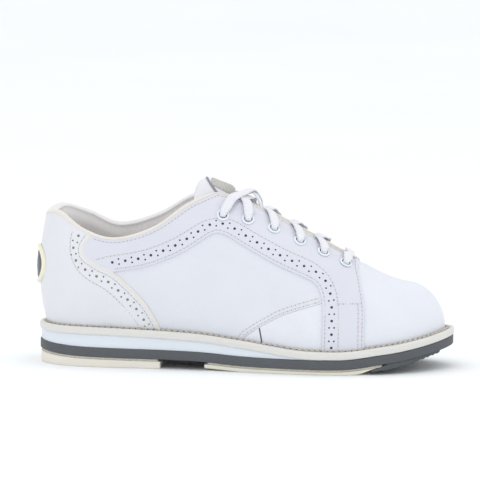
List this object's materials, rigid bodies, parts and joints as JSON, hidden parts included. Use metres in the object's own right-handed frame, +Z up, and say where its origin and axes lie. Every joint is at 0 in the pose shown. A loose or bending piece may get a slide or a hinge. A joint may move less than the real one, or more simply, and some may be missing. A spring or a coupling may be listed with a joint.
{
  "type": "bowling shoe",
  "caption": "Low lace-up bowling shoe for the right foot, white leather with perforated trim, welted wedge sole, replaceable sliding sole and braking heel.",
  "frame": {"origin": "centre of the outer box, on the ground under the shoe", "axes": "+X towards the toe along the sole, -Y towards the outer side of the foot, +Z up from the ground"},
  "size_m": [0.2825, 0.1015, 0.1245],
  "materials": {
    "dark_rubber": "matt moulded rubber, dark slate grey",
    "wedge_foam": "blue-white closed-cell foam",
    "welt_cream": "cream moulded strip with a stitched top",
    "cork_filler": "pressed cork",
    "shank_steel": "tempered spring steel",
    "insole_fibre": "cellulose fibre board",
    "footbed_foam": "textile over foam",
    "slide_pad": "buffed microfibre sliding sheet",
    "hook_sheet": "hook-and-loop backing",
    "heel_rubber": "ground braking rubber",
    "white_leather": "smooth white corrected-grain leather",
    "foxing_leather": "smooth warm-white leather, perforated",
    "saddle_leather": "smooth white leather, perforated",
    "lining": "brushed tricot",
    "stiffener": "fibre board stiffener",
    "foam": "open-cell foam",
    "binding_tape": "cream folded tape",
    "badge_dark": "moulded oval, dark grey",
    "badge_rim": "cream moulded rim",
    "tongue_leather": "soft white leather",
    "lace_white": "flat woven polyester",
    "aglet_clear": "pressed clear film",
    "eyelet_enamel": "white enamelled brass"
  },
  "bodies": {
    "shoe": {"outsole_band": "dark_rubber", "toe_traction_pad": "dark_rubber", "midsole_wedge": "wedge_foam", "welt": "welt_cream", "sole_filler": "cork_filler", "steel_shank": "shank_steel", "insole_board": "insole_fibre", "footbed": "footbed_foam", "vamp": "white_leather", "quarter_lateral": "white_leather", "quarter_medial": "white_leather", "foxing": "foxing_leather", "saddle_lateral": "saddle_leather", "saddle_medial": "saddle_leather", "side_tab_lateral": "saddle_leather", "side_tab_medial": "saddle_leather", "upper_lining": "lining", "toe_puff": "stiffener", "heel_counter": "stiffener", "collar_padding": "foam", "collar_binding": "binding_tape", "heel_badge": "badge_dark", "heel_badge_rim": "badge_rim", "shoelace": "lace_white", "aglet_outer": "aglet_clear", "aglet_inner": "aglet_clear", "eyelet_outer_1": "eyelet_enamel", "eyelet_outer_2": "eyelet_enamel", "eyelet_outer_3": "eyelet_enamel", "eyelet_outer_4": "eyelet_enamel", "eyelet_outer_5": "eyelet_enamel", "eyelet_outer_6": "eyelet_enamel", "eyelet_inner_1": "eyelet_enamel", "eyelet_inner_2": "eyelet_enamel", "eyelet_inner_3": "eyelet_enamel", "eyelet_inner_4": "eyelet_enamel", "eyelet_inner_5": "eyelet_enamel", "eyelet_inner_6": "eyelet_enamel"},
    "sliding_sole": {"sole_pad": "slide_pad", "sole_pad_hook": "hook_sheet"},
    "braking_heel": {"heel_pad": "heel_rubber", "heel_pad_hook": "hook_sheet"},
    "tongue": {"tongue_shell": "tongue_leather", "tongue_padding": "foam", "tongue_lining": "lining"}
  },
  "joints": [
    {"name": "sliding_sole_release", "type": "slide", "parent": "shoe", "child": "sliding_sole", "axis": [-0.9397, 0, -0.342], "range_m": [0, 0.03]},
    {"name": "braking_heel_release", "type": "slide", "parent": "shoe", "child": "braking_heel", "axis": [0, 0, -1], "range_m": [0, 0.02]},
    {"name": "tongue_pivot", "type": "hinge", "parent": "shoe", "child": "tongue", "pos_m": [0.0755, 0, 0.0605], "axis": [0, -1, 0], "range_deg": [0, 12], "stiffness_Nm_per_rad": 0.3, "springref_deg": -8.59}
  ]
}
